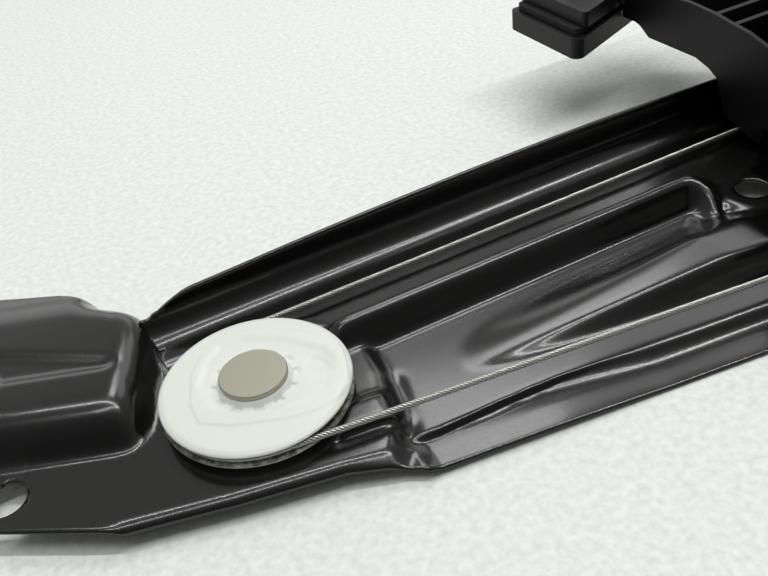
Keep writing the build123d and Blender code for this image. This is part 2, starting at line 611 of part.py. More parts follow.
def make_clamp_bolt(side):
    """Bolt with a flanged hexagon head on the plate."""
    place = Pos(BOLT_X, STRAND_Y + BOLT_D, 0)
    bottom = ARM_BOTTOM_Z - 4.0
    bolt = ring(CLAMP_BOLT_R, 0, bottom, PLATE_TOP_Z) + ring(7.0, 0, PLATE_TOP_Z, PLATE_TOP_Z + 1.2)
    head = extrude(Pos(0, 0, PLATE_TOP_Z) * RegularPolygon(5.0, 6, major_radius=False), amount=5.2)
    return far_or_near(place * (bolt + head), side)


def make_clamp_nut(side):
    place = Pos(BOLT_X, STRAND_Y + BOLT_D, ARM_BOTTOM_Z - 3.2)
    nut = extrude(RegularPolygon(5.0, 6, major_radius=False), amount=3.2)
    return far_or_near(place * (nut - Cylinder(CLAMP_BOLT_R, 20)), side)


# ---------------------------------------------------------------- the assembly

save(make_rail(), "guide_rail")
pulley = make_pulley()
rivet = make_rivet()
washer = ring(SEAT_WASHER_R, RIVET_R + 0.1, 0.02, WASHER)
for shape, name in ((pulley, "pulley"), (rivet, "pulley_rivet"), (washer, "pulley_washer")):
    lower, upper = at_pulleys(shape)
    save(lower, "lower_" + name)
    save(upper, "upper_" + name)

save(make_drum(), "cable_drum")
save(make_housing(), "drum_housing")
save(make_bearing_ring(), "drum_bearing_ring")
save(make_motor_inserts(), "motor_inserts")
for side, name in ((1, "lower"), (-1, "upper")):
    save(nipple_place(side) * Cylinder(NIPPLE_BARREL_R, NIPPLE_BARREL), name + "_drum_nipple")

save(make_cable(CARRIER_REST_X, 1), "lower_cable")
save(mirror(make_cable(-CARRIER_REST_X, -1), about=Plane.YZ), "upper_cable")

save(make_carrier(), "carrier")
save(make_end_block(), "cable_end_block")
for side, name in ((-1, "lower"), (1, "upper")):
    save(make_carrier_nipple(side), name + "_carrier_nipple")
    save(make_shoe(side), name + "_guide_shoe")
for side, name in ((1, "far"), (-1, "near")):
    save(make_jaw(side), name + "_clamp_jaw")
    save(make_pad(side), name + "_clamp_pad")
    save(make_clamp_bolt(side), name + "_clamp_bolt")
    save(make_clamp_nut(side), name + "_clamp_nut")
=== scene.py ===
import json
from math import acos, asin, atan2, cos, hypot, pi, radians, sin, tan

import bmesh
import bpy
import numpy as np
from mathutils import Matrix, Vector


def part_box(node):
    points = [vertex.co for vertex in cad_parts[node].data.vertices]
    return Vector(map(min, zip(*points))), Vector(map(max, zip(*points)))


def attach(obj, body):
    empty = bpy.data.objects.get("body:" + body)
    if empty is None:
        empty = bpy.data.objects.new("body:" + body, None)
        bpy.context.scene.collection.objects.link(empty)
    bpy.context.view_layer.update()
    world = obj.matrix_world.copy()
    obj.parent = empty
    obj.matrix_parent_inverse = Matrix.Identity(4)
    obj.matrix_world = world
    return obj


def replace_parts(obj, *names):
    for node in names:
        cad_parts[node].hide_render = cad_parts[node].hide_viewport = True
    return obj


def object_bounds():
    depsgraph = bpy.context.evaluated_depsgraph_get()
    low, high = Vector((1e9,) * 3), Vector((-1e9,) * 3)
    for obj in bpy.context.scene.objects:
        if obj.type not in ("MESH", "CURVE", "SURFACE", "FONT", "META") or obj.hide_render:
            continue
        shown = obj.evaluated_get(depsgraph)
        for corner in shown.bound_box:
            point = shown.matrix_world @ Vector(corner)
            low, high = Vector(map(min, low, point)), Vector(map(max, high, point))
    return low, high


# A cable window regulator on its back. X runs along the rail, Y across it towards the guide
# flange, Z up. The origin is on the drum's axis, level with the pulley seats. Objects are in metres.
# Sizes of the plate, the pulleys and the cables are in millimetres, and MM turns them into metres.
#
# The plate's forms are written for its lower half, in the pulley's own directions: u is measured
# along the rail from the pulley's axis towards the drum, w across it towards the flange. The upper
# half mirrors the lower one.

MM = 0.001
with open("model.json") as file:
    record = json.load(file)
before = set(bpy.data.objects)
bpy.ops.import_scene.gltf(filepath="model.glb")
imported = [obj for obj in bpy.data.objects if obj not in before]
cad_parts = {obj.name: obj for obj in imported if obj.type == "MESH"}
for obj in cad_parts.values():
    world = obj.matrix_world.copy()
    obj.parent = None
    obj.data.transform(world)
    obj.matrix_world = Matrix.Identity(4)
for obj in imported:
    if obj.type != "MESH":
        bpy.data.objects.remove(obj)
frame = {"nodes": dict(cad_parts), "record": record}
cad_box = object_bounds()

# Places taken from the frame
LOWER_PULLEY = (Vector(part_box("lower_pulley")[0]) + Vector(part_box("lower_pulley")[1])) / 2
HALF_SPACING = round(-LOWER_PULLEY.x / MM, 3)
PULLEY_Y = round(LOWER_PULLEY.y / MM, 3)
FLOOR_Z = cad_box[0].z

# Pressed plate, in millimetres. Heights are above the pulley seats.
SHEET = 1.2
FAR_FLOOR = 1.2
PAN_FLOOR = -2.4
RIM_FLOOR = -5.4
RIB_TOP = 6.6
CROWN_TOP = 5.2
HAT_TOP = 10.1
HAT_FOOT = -4.0
HAT_GROOVE = 1.2
LEG_ANGLE = radians(21.8)
FLANGE_W = 39.4
FLANGE_BEND_R = 8.0
FLANGE_REACH = 225.0
END_FALL = 4.5
END_FALL_LENGTH = 17.0
FIXING_HOLE_R = 5.4
DRUM_OPENING_R = 24.4
DRUM_PAD_R = 37.0
MID_HOLE = (165.5, -2.3)
END_HOLE = (-64.6, 2.4)
BELOW_ALL = -20.0

# Cable, in millimetres
PITCH_R = 23.6
DRUM_PITCH_R = 21.0
CABLE_R = 0.75
CABLE_Z = 3.8
END_BLOCK_X = 14.0
RETURN_ANGLE = (atan2(PULLEY_Y, HALF_SPACING)
                - asin((PITCH_R - DRUM_PITCH_R) / hypot(HALF_SPACING, PULLEY_Y)))

# Light: strength of the room on its dark and its bright side, then the soft boxes and tubes:
# name, place, aim, width, height and power in watts. The two tubes are long and narrow, so that
# each fold of the plate takes a thin line of light.
FLOOR_HALF = 9.0
ROOM_LIGHT = (0.15, 0.50)
BRIGHT_SIDE = (0.25, 0.85, 0.47)
SOFT_BOXES = [("soft_box_far", (0.36, 0.90, 1.3), (-0.10, 0.0, 0.0), 0.50, 0.46, 4.0),
              ("soft_box_right", (1.25, 1.05, 1.2), (-0.05, 0.0, 0.0), 0.9, 0.7, 2.4),
              ("tube_over", (0.1, 0.22, 1.5), (0.0, 0.05, 0.0), 1.9, 0.045, 9.5),
              ("tube_near", (0.0, -0.22, 1.5), (0.0, 0.0, 0.0), 1.9, 0.035, 6.5),
              ("low_wall", (0.1, 2.6, 0.9), (0.0, 0.0, 0.3), 3.2, 0.9, 6)]

# Camera
CAMERA_PLACE = (-0.23099, -0.13375, 0.15225)
CAMERA_PITCH = 0.65756
CAMERA_ROLL = 0.14950
CAMERA_TURN = radians(21.822)
CAMERA_LENS = 39.84
SENSOR_WIDTH = 36


# ---------------------------------------------------------------- small helpers

def linear(hex_colour):
    """sRGB hex to a linear RGBA value."""
    channels = [int(hex_colour[i:i + 2], 16) / 255 for i in (1, 3, 5)]
    return tuple(c / 12.92 if c < 0.04045 else ((c + 0.055) / 1.055) ** 2.4 for c in channels) + (1.0,)


def add(tree, kind, settings=None, links=None, values=None):
    """Adds a node with its settings, input values and incoming links."""
    node = tree.nodes.new(kind)
    for key, value in (settings or {}).items():
        setattr(node, key, value)
    for key, value in (values or {}).items():
        node.inputs[key].default_value = value
    for key, socket in (links or {}).items():
        tree.links.new(socket, node.inputs[key])
    return node


def new_material(name, colour, roughness, metallic=0.0, **shader_values):
    """Material with one shader; returns it with its tree and shader node."""
    material = bpy.data.materials.new(name)
    material.use_nodes = True
    tree = material.node_tree
    shader = tree.nodes["Principled BSDF"]
    shader.inputs["Base Color"].default_value = linear(colour)
    shader.inputs["Roughness"].default_value = roughness
    shader.inputs["Metallic"].default_value = metallic
    for key, value in shader_values.items():
        shader.inputs[key.replace("_", " ")].default_value = value
    return material, tree, shader


def surface_noise(tree, size_mm, detail=2.0):
    """Noise whose grains are about size_mm across."""
    place = add(tree, "ShaderNodeTexCoord").outputs["Object"]
    return add(tree, "ShaderNodeTexNoise", values={"Scale": 1 / (size_mm * MM), "Detail": detail},
               links={"Vector": place})


def roughen(tree, shader, noise, depth_mm, strength):
    """Bump from a noise node."""
    bump = add(tree, "ShaderNodeBump", values={"Strength": strength, "Distance": depth_mm * MM},
               links={"Height": noise.outputs["Fac"]})
    tree.links.new(bump.outputs["Normal"], shader.inputs["Normal"])


def mesh_piece(name, vertices, faces, material, smooth=True):
    """Object from vertices in metres, with its place in its mesh."""
    mesh = bpy.data.meshes.new(name)
    mesh.from_pydata([tuple(v) for v in vertices], [], faces)
    mesh.validate()
    piece = bpy.data.objects.new(name, mesh)
    bpy.context.scene.collection.objects.link(piece)
    mesh.materials.append(material)
    mesh.polygons.foreach_set("use_smooth", [smooth] * len(mesh.polygons))
    return piece


# ---------------------------------------------------------------- materials

ACETAL_WHITE = "#E4E7E0"
# Brown of the film in the pulley's groove: real grease, and painted shade that darkens the groove
GREASE_AND_SHADE_BROWN = "#4A4132"


def electrocoat():
    """Cathodic electrocoat on pressed steel: a thin, hard, even film of black.

    It gives the eye deep black between long, soft streaks of light that follow every fold. The
    real orange peel is a few tenths of a millimetre across and drawn coarser, so that it shows.
    """
    material, tree, shader = new_material("black_electrocoat", "#040403", 0.27, IOR=1.5,
                                          Coat_Weight=0.5, Coat_Roughness=0.13)
    roughen(tree, shader, surface_noise(tree, 0.8, 2.0), depth_mm=0.035, strength=0.6)
    specks = surface_noise(tree, 0.5, 1.0)
    sheen = add(tree, "ShaderNodeMapRange", None, {"Value": specks.outputs["Fac"]},
                {"From Min": 0.35, "From Max": 0.65, "To Min": 0.20, "To Max": 0.27})
    tree.links.new(sheen.outputs["Result"], shader.inputs["Roughness"])
    return material


def natural_acetal(name="natural_acetal", greased_and_shaded=False):
    """Moulded natural acetal, without pigment: light goes a few millimetres into it.

    It gives the eye a milky white with soft edges and a waxy shine. On a greased pulley an old
    brown film covers the groove in blots: partly real grease, partly painted shade in the groove.
    """
    material, tree, shader = new_material(name, ACETAL_WHITE, 0.34, IOR=1.48, Subsurface_Weight=0.5,
                                          Subsurface_Radius=(0.003, 0.003, 0.0027),
                                          Subsurface_Scale=0.6)
    if greased_and_shaded:
        # Brown film over the groove in blots: partly real grease, partly painted shade in the recess
        grease_and_shade_layer = add(tree, "ShaderNodeAttribute", {"attribute_name": "grease_and_shade"})
        blots = surface_noise(tree, 1.8, 3.0)
        grease_and_shade_cover = add(tree, "ShaderNodeMath", {"operation": "MULTIPLY", "use_clamp": True},
                    {0: grease_and_shade_layer.outputs["Fac"], 1: blots.outputs["Fac"]})
        thicker = add(tree, "ShaderNodeMath", {"operation": "MULTIPLY", "use_clamp": True},
                      {0: grease_and_shade_cover.outputs[0]}, {1: 1.7})
        mix = add(tree, "ShaderNodeMix", {"data_type": "RGBA"}, {"Factor": thicker.outputs[0]})
        mix.inputs["A"].default_value = linear(ACETAL_WHITE)
        mix.inputs["B"].default_value = linear(GREASE_AND_SHADE_BROWN)
        tree.links.new(mix.outputs["Result"], shader.inputs["Base Color"])
    return material


def bright_zinc():
    """Cold-headed steel with a thin bright zinc coat.

    It gives the eye a warm grey, half mirror and half dull. The pits are drawn coarser than real
    ones, so that they show.
    """
    material, tree, shader = new_material("bright_zinc", "#A6A396", 0.46, metallic=0.75)
    roughen(tree, shader, surface_noise(tree, 0.5, 4.0), depth_mm=0.03, strength=0.5)
    return material


def black_moulding():
    """Glass-filled nylon, moulded black: fibres near the skin break up its shine.

    It gives the eye a dull, even black that stays lighter than the coated steel's shadows.
    """
    material, tree, shader = new_material("black_moulding", "#060606", 0.5, IOR=1.4)
    roughen(tree, shader, surface_noise(tree, 0.4, 3.0), depth_mm=0.02, strength=0.4)
    return material


def pad_rubber():
    """Soft rubber against the glass: nearly black, with no shine and a faint skin."""
    material, tree, shader = new_material("pad_rubber", "#0C0C0C", 0.75)
    roughen(tree, shader, surface_noise(tree, 0.6, 2.0), depth_mm=0.03, strength=0.5)
    return material


def turned_brass():
    """Turned brass: a yellow metal with a clean shine and fine marks from the tool."""
    material, tree, shader = new_material("turned_brass", "#B8924F", 0.35, metallic=1.0)
    roughen(tree, shader, surface_noise(tree, 0.4, 2.0), depth_mm=0.01, strength=0.4)
    return material


def drawn_wire():
    """Galvanised steel wire, drawn: bright grey, so that each strand takes a thin highlight.

    The die's scores are drawn coarser than real ones, so that they show.
    """
    material, tree, shader = new_material("drawn_wire", "#C4C4BF", 0.33, metallic=0.95)
    roughen(tree, shader, surface_noise(tree, 0.5, 2.0), depth_mm=0.02, strength=0.4)
    return material


def floor_sheet():
    """Matt pale floor: it stays near white beside black steel and carries soft shadows."""
    material, tree, shader = new_material("studio_floor", "#DCE0DA", 0.8)
    grain = surface_noise(tree, 2.2, 3.0)
    shade = add(tree, "ShaderNodeValToRGB", None, {"Fac": grain.outputs["Fac"]})
    for element, place, colour in zip(shade.color_ramp.elements, (0.3, 0.7), ("#DEE2DD", "#F1F4F0")):
        element.position = place
        element.color = linear(colour)
    tree.links.new(shade.outputs["Color"], shader.inputs["Base Color"])
    roughen(tree, shader, grain, depth_mm=0.4, strength=0.5)
    return material


# ---------------------------------------------------------------- pressed rail plate

def polygon_distance(points, u, w):
    """Distance outside a closed polygon, negative inside, for arrays u and w."""
    nearest = np.full(u.shape, 1e9)
    inside = np.zeros(u.shape, bool)
    for (u0, w0), (u1, w1) in zip(points, points[1:] + points[:1]):
        du, dw = u1 - u0, w1 - w0
        t = np.clip(((u - u0) * du + (w - w0) * dw) / (du * du + dw * dw), 0, 1)
        nearest = np.minimum(nearest, np.hypot(u - u0 - t * du, w - w0 - t * dw))
        crosses = (w0 > w) != (w1 > w)
        with np.errstate(divide="ignore", invalid="ignore"):
            inside ^= crosses & (u < u0 + (w - w0) * du / np.where(dw == 0, 1e-9, dw))
    return np.where(inside, -nearest, nearest)


def eased(t):
    """Smooth step from 0 to 1."""
    t = np.clip(t, 0, 1)
    return t * t * (3 - 2 * t)


def plateau(points, top, u, w, slope=45):
    """Flat-topped form with sloping sides."""
    return top - np.maximum(polygon_distance(points, u, w), 0) / tan(radians(slope))


def strand_w(u):
    """w of the cable run that goes back to the drum."""
    return -PITCH_R / cos(RETURN_ANGLE) - u * tan(RETURN_ANGLE)


def along_across(u, w):
    """Distance along and across an end leg."""
    c, s = cos(LEG_ANGLE), sin(LEG_ANGLE)
    return u * c - w * s, u * s + w * c


# Outlines of a leg's raised hollow as (along, across) points, then its falling wing
HAT_TOP_LINE = [(-110, -7), (-60, -7), (-32, -7), (-30, -2), (-30, 25), (-34, 35), (-44, 39), (-110, 39)]
HAT_FOOT_LINE = [(-110, -10.5), (-60, -14.5), (-30, -27.5), (-26.8, -12), (-26.6, 25), (-31, 38),
                 (-44, 43), (-110, 43)]
HAT_GROOVE_LINE = [(-110, 10.8), (-39, 10.8), (-39, 12.0), (-110, 29.8)]
HAT_GROOVE_SLOPE = 60
WING_ACROSS = [30, 38.5, 48, 70]
WING_Z = [HAT_TOP - 0.2, HAT_TOP - 0.2, 7.4, 7.4]
WING_END = -47


def lofted_hat(u, w):
    """Raised hollow of a leg, between a foot outline and a top outline."""
    top, foot = HAT_TOP_LINE, HAT_FOOT_LINE
    along, across = along_across(u, w)
    height = np.full(u.shape, HAT_TOP)
    for i in range(len(top) - 1):
        (a0, c0), (a1, c1) = top[i], top[i + 1]
        length = hypot(a1 - a0, c1 - c0)
        normal = ((c1 - c0) / length, -(a1 - a0) / length)
        beyond = (along - a0) * normal[0] + (across - c0) * normal[1]
        t = np.clip(((along - a0) * (a1 - a0) + (across - c0) * (c1 - c0)) / length ** 2, 0, 1)
        reach = [(foot[k][0] - top[k][0]) * normal[0] + (foot[k][1] - top[k][1]) * normal[1]
                 for k in (i, i + 1)]
        offset = reach[0] + (reach[1] - reach[0]) * t
        height = np.minimum(height, HAT_TOP - (HAT_TOP - HAT_FOOT) * beyond / offset)
    return height


def leg_wing(u, w):
    """Falling wing beyond a leg's far crease."""
    along, across = along_across(u, w)
    profile = np.interp(across, WING_ACROSS, WING_Z)
    return np.where((across > WING_ACROSS[0]) & (along < WING_END), profile, BELOW_ALL)


def ridge(path, u, w, flat, slope):
    """Crest along a path of (u, w, height) points, flat near its middle, with sloping sides."""
    height = np.full(u.shape, BELOW_ALL)
    for (u0, w0, z0), (u1, w1, z1) in zip(path, path[1:]):
        du, dw = u1 - u0, w1 - w0
        t = np.clip(((u - u0) * du + (w - w0) * dw) / (du * du + dw * dw), 0, 1)
        beyond = np.maximum(np.hypot(u - u0 - t * du, w - w0 - t * dw) - flat, 0)
        height = np.maximum(height, z0 + (z1 - z0) * t - beyond * tan(radians(slope)))
    return height


def furrow(path, u, w, half_width):
    """Depth of a rounded furrow along a path of (u, w, depth) points."""
    depth = np.zeros(u.shape)
    for (u0, w0, z0), (u1, w1, z1) in zip(path, path[1:]):
        du, dw = u1 - u0, w1 - w0
        t = np.clip(((u - u0) * du + (w - w0) * dw) / (du * du + dw * dw), 0, 1)
        across = np.hypot(u - u0 - t * du, w - w0 - t * dw) / half_width
        depth = np.maximum(depth, (z0 + (z1 - z0) * t) * np.exp(-across * across))
    return depth


# Main rib: its section across the rail, the box that ends it, and the crest of its turned end
RIB_W = [1.0, 2.0, 5.8, 7.3, 8.6, 10.2, 12.0, 13.5]
RIB_Z = [-9, -3.4, 4.9, 6.3, RIB_TOP, 6.2, 3.4, -2.5]
RIB_BOX = [(28, -20), (150, -20), (150, 40), (28, 40)]
RIB_TURN = [(136, 8.8, RIB_TOP), (144, 8.7, RIB_TOP), (147.6, 7.6, 6.3), (150.2, 5.4, 5.8),
            (151.2, 2.6, 4.8), (150.8, 0.0, 3.2), (149.6, -2.6, 1.2), (147.5, -5.0, -1.0)]


def main_rib(u, w):
    """Long crest beside the far cable run; its far end turns in towards the pan."""
    ends = plateau(RIB_BOX, RIB_TOP, u, w, 50)
    return np.maximum(np.minimum(np.interp(w, RIB_W, RIB_Z), ends), ridge(RIB_TURN, u, w, 1.0, 60))


# Crown of the pan: its top along the rail, how far it stands off the cable run, the width of its
# steep side, and where its gentle side starts and how wide that is
CROWN_U = [52, 130, 146, 164]
CROWN_Z = [PAN_FLOOR + 0.1, CROWN_TOP, 4.6, 0.2]
CROWN_END = 180
CROWN_OFFSET = 6.5
CROWN_RISE = 5.0
CROWN_FAR_W = -1.0
CROWN_FALL = 17


def pan_crown(u, w):
    """Raised middle of the pan: steep towards the near cable run, gentle towards the main rib."""
    top = np.interp(u, CROWN_U, CROWN_Z)
    foot = strand_w(u) + CROWN_OFFSET
    base = PAN_FLOOR - 0.5
    rise = np.clip((w - foot) / CROWN_RISE, 0, 1)
    fall = eased((CROWN_FAR_W - w) / CROWN_FALL)
    height = base + (top - base) * np.minimum(rise, fall) - 2 * np.maximum(foot - w, 0)
    return np.where((u > CROWN_U[0]) & (u < CROWN_END), height, BELOW_ALL)


# Outlines of the plate's flats as (u, w) points
PAN = [(206, strand_w(206) - 3), (110, strand_w(110) - 3), (80, -36.2), (62, -34.2), (34, -33.6),
       (28, -33.0), (24, -50), (-100, -70), (-100, 100), (206, 100)]
SEAT = [(-100, -21.0), (-42, -20.4), (-16, -26.8), (9, -31.9), (20, -34.6), (28.4, -25), (30, -14),
        (31.5, 5), (31.5, 28), (-30, 40), (-100, 40)]
APRON = [(-100, -22.5), (-42, -22.0), (-16, -28.4), (9, -33.4), (19, -37.0), (25, -34.0),
         (27, -20), (-100, 0)]
APRON_Z = -1.2
FAR_STRIP = [(-40, 26.8), (14, 26.8), (34, 7.2), (206, 7.2), (206, 70), (-40, 70)]
FAR_STRIP_SLOPE = 50
BEAD = [(12, -23.5), (26, -25.5), (27, -17.5), (14, -16.0)]
BEAD_Z = 2.0

# Furrow between the seat and the pan as (u, w, depth) points
VALLEY = [(32.5, -9.0, 0.0), (31.8, -12.2, 1.0), (29.7, -19.3, 1.5), (28.0, -26.1, 1.5),
          (25.8, -32.3, 1.3), (23.6, -38.2, 1.0), (22.4, -42.0, 1.0)]
VALLEY_HALF_WIDTH = 2.0

# Boss round the middle fixing hole, and the height of the near rim along the rail
BOSS_Z = 0.6
BOSS_R = 11.75
BOSS_FALL = 2.06
RIM_U = [14, 30, 62, 92]
RIM_Z = [RIM_FLOOR, PAN_FLOOR - 0.3, PAN_FLOOR - 0.6, RIM_FLOOR]


def plate_forms(u, w):
    """Height of the press tool over the lower half of the plate, before its edges are rounded."""
    from_drum = np.hypot(HALF_SPACING - u, w + PULLEY_Y)
    from_hole = np.hypot(u - MID_HOLE[0], w - MID_HOLE[1])
    forms = [plateau(PAN, PAN_FLOOR, u, w), plateau(SEAT, 0.0, u, w), plateau(APRON, APRON_Z, u, w),
             plateau(FAR_STRIP, FAR_FLOOR, u, w, FAR_STRIP_SLOPE), plateau(BEAD, BEAD_Z, u, w),
             main_rib(u, w), pan_crown(u, w),
             rounded(np.maximum(lofted_hat(u, w), leg_wing(u, w)), FIELD_STEP, HAT_RADIUS),
             np.minimum(BOSS_Z, BOSS_Z - (from_hole - BOSS_R) * BOSS_FALL),
             np.minimum(0.0, DRUM_PAD_R - from_drum)]
    height = np.interp(u, RIM_U, RIM_Z)
    for form in forms:
        height = np.maximum(height, form)
    height = height - furrow(VALLEY, u, w, VALLEY_HALF_WIDTH)
    along, across = along_across(u, w)
    beside_groove = np.maximum(polygon_distance(HAT_GROOVE_LINE, along, across), 0)
    cut = HAT_TOP - HAT_GROOVE + beside_groove / tan(radians(HAT_GROOVE_SLOPE))
    return np.where(height > HAT_TOP - 3, np.minimum(height, cut), height)


def rounded(height, step, radius):
    """Rounds creases by passing a small window over the heights three times."""
    count = max(int(round(radius / step)), 1)
    for axis in (0, 1):
        for _ in range(3):
            margins = [(count, count) if k == axis else (0, 0) for k in (0, 1)]
            padded = np.pad(height, margins, mode="edge")
            total = np.zeros_like(height)
            for shift in range(2 * count + 1):
                total += np.take(padded, range(shift, shift + height.shape[axis]), axis=axis)
            height = total / (2 * count + 1)
    return height


# Edges of the plate as (u, w) points, then how its height is sampled and rounded
NEAR_EDGE = [(HALF_SPACING, -64.8), (26.5, -42.2), (21.5, -39.0), (9.0, -34.0), (-16.0, -28.8),
             (-42.0, -22.4), (-80.5, 1.0)]
FAR_EDGE = [(-80.5, 1.0), (-57.5, 77.5), (-38.0, 66.2), (-29.5, 58.5), (-26.5, 50.0), (-19.5, 43.0),
            (-18.0, FLANGE_W - FLANGE_BEND_R), (HALF_SPACING, FLANGE_W - FLANGE_BEND_R)]
FIELD_STEP = 0.4
FIELD_U = (-90, HALF_SPACING + 20)
FIELD_W = (-75, 90)
CREASE_RADIUS = 0.8
HAT_RADIUS = 3.2

# Line along the near rim, the height of its step along the rail, and the step's width
RIM_LINE_U = [26, 34, 51, 60, 69, 80, 94, 108, 123, 205]
RIM_LINE_W = [-32.2, -33.3, -33.6, -34.0, -34.6, -36.1, -38.4, -40.8, -43.2, -51.6]
RIM_STEP_U = [26, 30, 62, 90]
RIM_STEP_Z = [0.0, 1.5, 1.4, 0.0]
RIM_STEP_WIDTH = 1.1
RIM_ROW_OFFSET = 0.7

# Rolled near edge, and the rows of the flange
EDGE_BEND = 1.1
EDGE_DROP = 0.5
BEND_ROWS = 8
UPRIGHT_ROWS = 4
CREST_X = [-225, -205, -156, -75, -14, 60, 205, 225]
CREST_Z = [11.0, 12.6, 15.2, 16.7, 15.1, 13.6, 12.6, 11.0]
CREST_SAMPLES = 181
CREST_WINDOW = 31

# Columns along u as (start, end, step), and the least gap between two of them
COLUMN_SPANS = [(-80.5, 64, 1.2), (64, 132, 2.2), (132, 172, 1.2), (172, HALF_SPACING, 2.2)]
LEAST_COLUMN_GAP = 0.35

# Rows across the plate: how many lie between each two creases, and where along u they leave the
# even spacing of the leg
ROW_COUNTS = [4, 5, 5, 10, 10, 11, 13, 10, 9, 8, 12]
CREASE_ROWS_FROM = 22
CREASE_ROWS_BLEND = 22


def edge_w(points, u):
    """w of an edge at u."""
    ordered = sorted(points)
    return np.interp(u, [p[0] for p in ordered], [p[1] for p in ordered])


def height_field():
    """Rounded heights of the lower half on a regular grid, with a function that reads them."""
    us = np.arange(FIELD_U[0], FIELD_U[1], FIELD_STEP)
    ws = np.arange(FIELD_W[0], FIELD_W[1], FIELD_STEP)
    u, w = np.meshgrid(us, ws, indexing="ij")
    mirrored = np.where(u > HALF_SPACING, 2 * HALF_SPACING - u, u)
    heights = rounded(plate_forms(mirrored, w), FIELD_STEP, CREASE_RADIUS)
    beyond_line = np.interp(mirrored, RIM_LINE_U, RIM_LINE_W) - w
    heights -= (np.interp(mirrored, RIM_STEP_U, RIM_STEP_Z)
                * eased(beyond_line / RIM_STEP_WIDTH + 0.5))

    def read(u, w):
        i = np.clip((np.asarray(u) - us[0]) / FIELD_STEP, 0, len(us) - 1.001)
        j = np.clip((np.asarray(w) - ws[0]) / FIELD_STEP, 0, len(ws) - 1.001)
        i0, j0 = i.astype(int), j.astype(int)
        fi, fj = i - i0, j - j0
        return ((heights[i0, j0] * (1 - fi) + heights[i0 + 1, j0] * fi) * (1 - fj)
                + (heights[i0, j0 + 1] * (1 - fi) + heights[i0 + 1, j0 + 1] * fi) * fj)
    return read


def crest_height(x):
    """Top edge of the guide flange above the seats."""
    fine = np.linspace(-FLANGE_REACH, FLANGE_REACH, CREST_SAMPLES)
    values = np.interp(fine, CREST_X, CREST_Z)
    kernel = np.ones(CREST_WINDOW) / CREST_WINDOW
    values = np.convolve(np.pad(values, CREST_WINDOW // 2, mode="edge"), kernel, "valid")
    fall = END_FALL * (1 - eased((FLANGE_REACH - abs(x)) / END_FALL_LENGTH))
    return np.interp(x, fine, values) - fall


def plate_columns():
    """x places of the columns, closer where the forms change along the rail."""
    corners = {p[0] for p in NEAR_EDGE + FAR_EDGE} | {-20.0, HALF_SPACING}
    places = set(corners)
    for start, end, step in COLUMN_SPANS:
        places |= set(np.round(np.arange(start, end, step), 3))
    keep = []
    for u in sorted(places):
        if not keep or u - keep[-1] > LEAST_COLUMN_GAP or u in corners:
            keep.append(float(u))
    lower = [u - HALF_SPACING for u in keep]
    return lower + [-x for x in reversed(lower[:-1])]


def plate_rows(u, near, far):
    """w places of the rows at u: even on the leg, and along the creases beyond it."""
    rim, run = float(np.interp(u, RIM_LINE_U, RIM_LINE_W)), float(strand_w(u))
    creases = [near, near + EDGE_BEND, rim - RIM_ROW_OFFSET, rim + RIM_ROW_OFFSET, run + 5.5,
               run + 12.5, -15.0, -1.0, 5.0, 10.0, 15.0, far]
    rows = [near]
    for start, end, count in zip(creases, creases[1:], ROW_COUNTS):
        rows += list(np.linspace(start, end, count + 1)[1:])
    along = np.array(rows)
    even = np.linspace(near, max(far, near + 0.05), len(rows))
    share = eased((u - CREASE_ROWS_FROM) / CREASE_ROWS_BLEND)
    return even + (along - even) * share if share > 0 else even


def sheet_column(read, x, u):
    """Points of the plate's upper skin across the rail at x, in metres."""
    near, far = float(edge_w(NEAR_EDGE, u)), float(edge_w(FAR_EDGE, u))
    w = plate_rows(u, near, far)
    z = read(np.full(len(w), u), w)
    z = z - EDGE_DROP * np.clip(1 - (w - near) / EDGE_BEND, 0, 1) ** 2
    return [(x * MM, (a + PULLEY_Y) * MM, b * MM) for a, b in zip(w, z)]


def flange_column(x):
    """Points of the guide flange at x: round the bend and up to its crest, in metres."""
    foot, base = FLANGE_W - FLANGE_BEND_R, FAR_FLOOR
    top = float(crest_height(x))
    turn = acos(max(1 - (top - base) / FLANGE_BEND_R, 0.0))
    bend = [(foot + FLANGE_BEND_R * sin(a), base + FLANGE_BEND_R * (1 - cos(a)))
            for a in np.linspace(0, turn, BEND_ROWS + 1)]
    upright = max(top - base - FLANGE_BEND_R, 0.02)
    rise = [(bend[-1][0], bend[-1][1] + upright * k / UPRIGHT_ROWS)
            for k in range(1, UPRIGHT_ROWS + 1)]
    return [(x * MM, (a + PULLEY_Y) * MM, b * MM) for a, b in bend + rise]


def rail_surface():
    """Upper skin of the plate and the flange's inner skin: vertices in metres and faces."""
    read = height_field()
    vertices, faces = [], []
    sheet_rows, flange_rows = [], []
    for x in plate_columns():
        columns = [(sheet_rows, sheet_column(read, x, HALF_SPACING - abs(x)))]
        if abs(x) <= FLANGE_REACH + 0.01:
            columns.append((flange_rows, flange_column(x)))
        else:
            flange_rows.append(None)
        for rows, points in columns:
            rows.append(range(len(vertices), len(vertices) + len(points)))
            vertices += points
    for rows in (sheet_rows, flange_rows):
        for left, right in zip(rows, rows[1:]):
            if left is None or right is None:
                continue
            for k in range(len(left) - 1):
                faces.append((left[k], right[k], right[k + 1], left[k + 1]))
    return vertices, faces


# Vertices of a hole's ragged rim that lie within RIM_CATCH millimetres of its circle move onto it.
# Vertices closer together than WELD metres are merged.
RIM_CATCH = 1.6
WELD = 2e-5


def rail_holes():
    """Holes in the plate as (x, y, radius) in millimetres."""
    holes = [(0.0, 0.0, DRUM_OPENING_R)]
    for side in (-1, 1):
        for u, w in (MID_HOLE, END_HOLE):
            holes.append((side * (HALF_SPACING - u), PULLEY_Y + w, FIXING_HOLE_R))
    return holes


